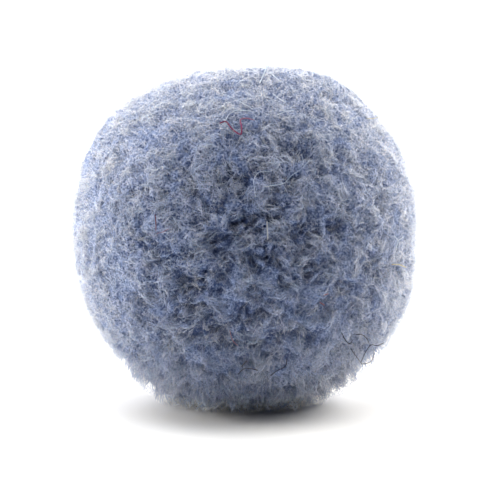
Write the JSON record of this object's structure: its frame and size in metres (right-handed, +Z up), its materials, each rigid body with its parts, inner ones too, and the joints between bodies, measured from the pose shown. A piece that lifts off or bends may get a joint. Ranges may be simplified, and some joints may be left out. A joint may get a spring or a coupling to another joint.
{
  "type": "plush pom-pom",
  "caption": "Round, soft, trimmed ball of fine crimped blue-grey yarn ends tied at the middle, a trim for crafts and clothing that rests on a small flattened spot.",
  "frame": {"origin": "on the table, under the middle of the ball's box", "axes": "+Z up from the table, -Y towards the viewer of the picture, +X to the viewer's right"},
  "size_m": [0.0302, 0.0302, 0.0302],
  "materials": {
    "wool": "matt blue-grey wool-like fibre, fine and crimped, dark between its tufts and pale at its cut tips"
  },
  "bodies": {
    "root": {"pompom_pile": "wool"}
  },
  "joints": []
}
